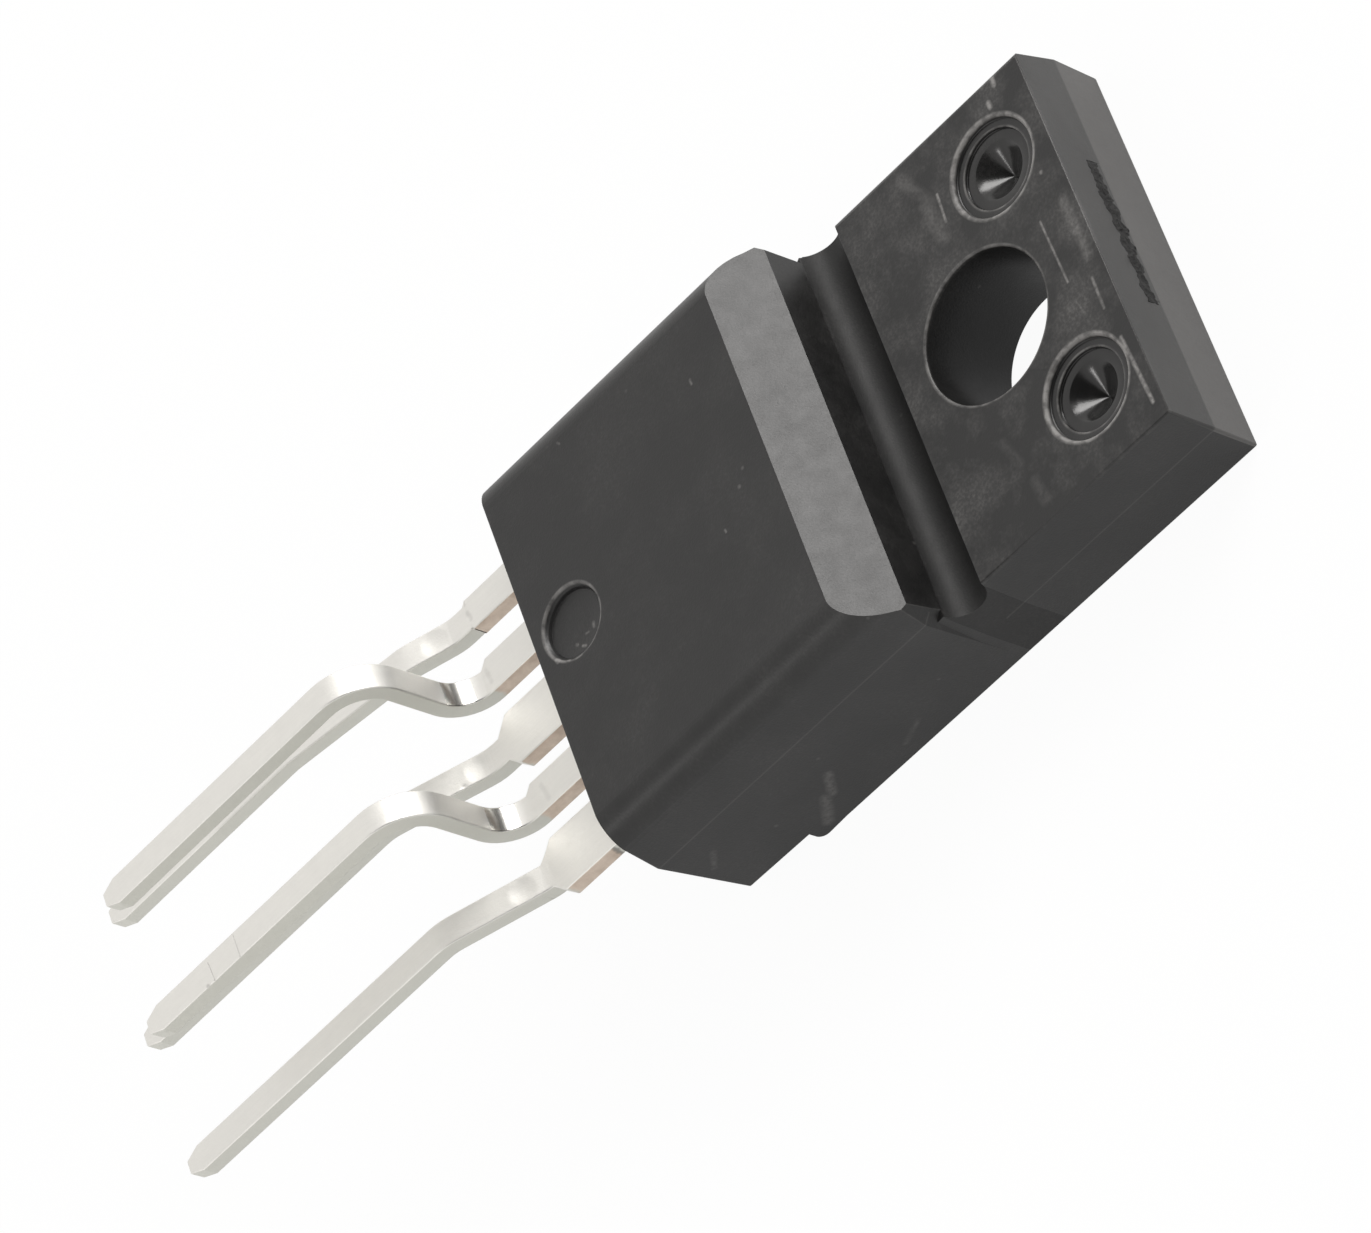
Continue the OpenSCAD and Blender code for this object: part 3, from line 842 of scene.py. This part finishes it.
def softened(nodeName, kit, material):
    isHousing = nodeName == "moulded_body"
    work = cleaned(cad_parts[nodeName].data, kit["join"])
    if isHousing:
        mesh, work = recut(work, kit["piece"])
    else:
        mesh = bpy.data.meshes.new(kit["piece"])
    weight = work.edges.layers.float.new("bevel_weight_edge")
    flatEnough = math.radians(edgeRules["sharp"])
    for edge in work.edges:
        edge.smooth = len(edge.link_faces) == 2 and edge.calc_face_angle() < flatEnough
        if isHousing:
            edge[weight] = edgeWear(edge) if houseEdge(edge) else 0.0
        else:
            edge[weight] = 0.0 if edge.smooth or not edge.is_convex else 1.0
    pressed(work, kit["presses"])
    for face in work.faces:
        face.smooth = True
    work.to_mesh(mesh)
    work.free()
    mesh.materials.clear()
    piece = place(kit["piece"], mesh, material)
    bevel = piece.modifiers.new("wornEdgesAndSheen", "BEVEL")
    bevel.limit_method = "WEIGHT"
    bevel.width = kit["width"] * mm
    bevel.segments = edgeRules["segments"]
    bevel.use_clamp_overlap = False
    bevel.face_strength_mode = "FSTR_AFFECTED"
    flat = piece.modifiers.new("flatFaces", "WEIGHTED_NORMAL")
    flat.keep_sharp = True
    flat.use_face_influence = True
    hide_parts(nodeName)


def lookFor(nodeName):
    if nodeName.startswith("bond_wire"):
        return wireLook
    return {"moulded_body": mouldLook, "solder": solderLook, "chip": siliconLook}.get(nodeName, tinLook)


for nodeName, kit in softening.items():
    softened(nodeName, kit, lookFor(nodeName))
for nodeName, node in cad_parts.items():
    dress(node, lookFor(nodeName))
print("shapes softened:", len(softening))


def noisePlace(x, z, kind):
    return Vector((x * kind[0], z * kind[1], kind[2]))


# how far the broken face stands out at a place on the gate, u and v running from 0 to 1
def brokenDepth(u, v, x, z):
    kit = gate
    atEnd = min(u, 1 - u)
    chip = noise.fractal(noisePlace(x, z, kit["chipNoise"]), *kit["chipFractal"])
    crumb = noise.noise(noisePlace(x, z, kit["crumbNoise"]))
    ragged = sum(noise.noise(noisePlace(x, z, kind)) * share for kind, share in kit["raggedNoise"])
    taper = kit["taper"] + (1 - kit["taper"]) * min(1.0, kit["taperSlope"] * atEnd)
    slope, share, tear = kit["sides"]
    atSide = slope * (taper * share - abs(2 * v - 1.0)) + tear * ragged
    slope, tear = kit["ends"]
    border = min(slope * atEnd + tear * ragged, atSide, 1.0, kit["endSlope"] * atEnd)
    if border <= kit["cutOff"]:
        return -kit["hidden"]
    rugged = kit["ruggedness"] * (kit["chipShare"] * chip + kit["crumbShare"] * crumb)
    return max(kit["proud"] * border + rugged * border, kit["least"])


def makeGate():
    kit = gate
    mesh = bpy.data.meshes.new("broken_gate")
    work = bmesh.new()
    spanX, spanZ = kit["right"] - kit["left"], kit["patchHigh"] - kit["low"]
    rows = []
    for row in range(kit["rows"] + 1):
        line = []
        for column in range(kit["columns"] + 1):
            u, v = column / kit["columns"], row / kit["rows"]
            x, z = kit["left"] + spanX * u, kit["low"] + kit["lift"] + spanZ * v
            y = kit["face"] - (z - kit["low"]) * kit["lean"] + brokenDepth(u, v, x, z)
            line.append(work.verts.new((x * mm, y * mm, z * mm)))
        rows.append(line)
    for lower, upper in zip(rows, rows[1:]):
        for k in range(kit["columns"]):
            work.faces.new((lower[k + 1], lower[k], upper[k], upper[k + 1]))
    # a plain back inside the tab closes it
    rim = rows[0] + [row[-1] for row in rows[1:-1]] + rows[-1][::-1] + [row[0] for row in rows[1:-1]][::-1]
    back = [work.verts.new((vert.co.x, (kit["face"] - kit["buried"]) * mm, vert.co.z)) for vert in rim]
    for k in range(len(rim)):
        after = (k + 1) % len(rim)
        work.faces.new((rim[k], rim[after], back[after], back[k]))
    work.faces.new(back[::-1])
    bmesh.ops.recalc_face_normals(work, faces=work.faces)
    work.to_mesh(mesh)
    work.free()
    place("broken_gate", mesh, brokenLook)


makeGate()
print("gate scar made")


# floor and room; the room is dim in one zone behind the camera
studio = {
    "floor": 0.9,
    "floorGlow": 0.95,
    "floorGlowInGloss": 0.45,
    "floorHalf": 1.5,
    "floorDrop": 0.002,
    "dome": 0.94,
    "warmth": 0.015,
    "dimWay": (0.2, 0.36, 0.91),
    "dimLevel": 0.08,
    "dimFrom": 0.77,
    "dimTo": 0.9,
}
# soft panels that shine on the part's middle: way, distance and size in metres
panels = {
    "windowPanel": {
        "way": (-0.593, 0.623, 0.507),
        "distance": 0.3,
        "size": (0.16, 0.13),
        "radiance": 8.6,
    },
    "lampPanel": {
        "way": (0.45, -0.58, 0.68),
        "distance": 0.35,
        "size": (0.045, 0.045),
        "radiance": 12.0,
    },
}
partMiddle = (0, -0.008, 0.003)
# the photograph's viewpoint: places in millimetres, roll in degrees
view = {
    "stand": (98.261, 68.844, 114.261),
    "aim": (-0.303, -9.833, 2.0),
    "roll": -71.002,
    "lens": 213.81,
    "sensor": 36.0,
    "nearest": 0.005,
}


def makeFloor():
    look = newLook("paleFloor")
    path = look.add("ShaderNodeLightPath")
    mirrored = look.out(path, "Is Glossy Ray").atLeast(look.out(path, "Is Transmission Ray"))
    seen = look.out(path, "Is Camera Ray") * studio["floorGlow"]
    seen = seen.atLeast(mirrored * studio["floorGlowInGloss"])
    paint = look.add("ShaderNodeBsdfDiffuse", inputs={"Color": grey(studio["floor"])})
    glow = look.add("ShaderNodeEmission", inputs={"Color": grey(1.0), "Strength": 1.0})
    mixed = {0: seen, 1: look.out(paint, "BSDF"), 2: look.out(glow, "Emission")}
    shader = look.out(look.add("ShaderNodeMixShader", inputs=mixed), "Shader")
    look.add("ShaderNodeOutputMaterial", inputs={"Surface": shader})
    mesh = bpy.data.meshes.new("floor")
    half = studio["floorHalf"]
    corners = [(-half, -half, 0), (half, -half, 0), (half, half, 0), (-half, half, 0)]
    mesh.from_pydata(corners, [], [(0, 1, 2, 3)])
    floor = bpy.data.objects.new("floor", mesh)
    floor.location.z = -studio["floorDrop"] * mm
    sheet.objects.link(floor)
    dress(floor, look.owner)


def makeWorld():
    world = bpy.data.worlds.new("studioDome")
    bpy.context.scene.world = world
    look = Finish(world)
    towards = look.out(look.add("ShaderNodeTexCoord"), "Generated")
    way = Vector(studio["dimWay"]).normalized()
    near = look.add("ShaderNodeVectorMath", {"operation": "DOT_PRODUCT"}, {0: towards, 1: way})
    level = look.add("ShaderNodeMapRange", {"interpolation_type": "SMOOTHSTEP"}, {
        "Value": look.out(near, "Value"),
        "From Min": studio["dimFrom"],
        "From Max": studio["dimTo"],
        "To Min": studio["dome"],
        "To Max": studio["dimLevel"],
    })
    light = {"Color": grey(1.0, studio["warmth"]), "Strength": look.out(level, "Result")}
    background = look.out(look.add("ShaderNodeBackground", inputs=light), "Background")
    look.add("ShaderNodeOutputWorld", inputs={"Surface": background})


def makePanel(name, kit):
    lamp = bpy.data.lights.new(name, "AREA")
    lamp.shape = "RECTANGLE"
    wide, high = kit["size"]
    lamp.size, lamp.size_y = wide, high
    lamp.color = grey(1.0, studio["warmth"])[:3]
    lamp.energy = kit["radiance"] * math.pi * wide * high
    light = bpy.data.objects.new(name, lamp)
    sheet.objects.link(light)
    way = Vector(kit["way"]).normalized()
    light.location = Vector(partMiddle) + way * kit["distance"]
    light.rotation_euler = way.to_track_quat("Z", "Y").to_euler()


def makeCamera():
    lens = bpy.data.cameras.new("camera")
    lens.lens = view["lens"]
    lens.sensor_width = view["sensor"]
    lens.clip_start = view["nearest"]
    lens.dof.use_dof = False
    camera = bpy.data.objects.new("camera", lens)
    sheet.objects.link(camera)
    stand, aim = (Vector(view[end]) * mm for end in ("stand", "aim"))
    roll = math.radians(view["roll"])
    forward = (aim - stand).normalized()
    level = forward.cross(Vector((0, 0, 1))).normalized()
    upright = level.cross(forward)
    right = level * math.cos(roll) + upright * math.sin(roll)
    turn = Matrix((right, right.cross(forward), -forward)).transposed()
    camera.matrix_world = Matrix.Translation(stand) @ turn.to_4x4()
    bpy.context.scene.camera = camera


makeFloor()
makeWorld()
for name, kit in panels.items():
    makePanel(name, kit)
makeCamera()
bpy.context.scene.view_settings.view_transform = "Standard"
print("floor, light and camera set")
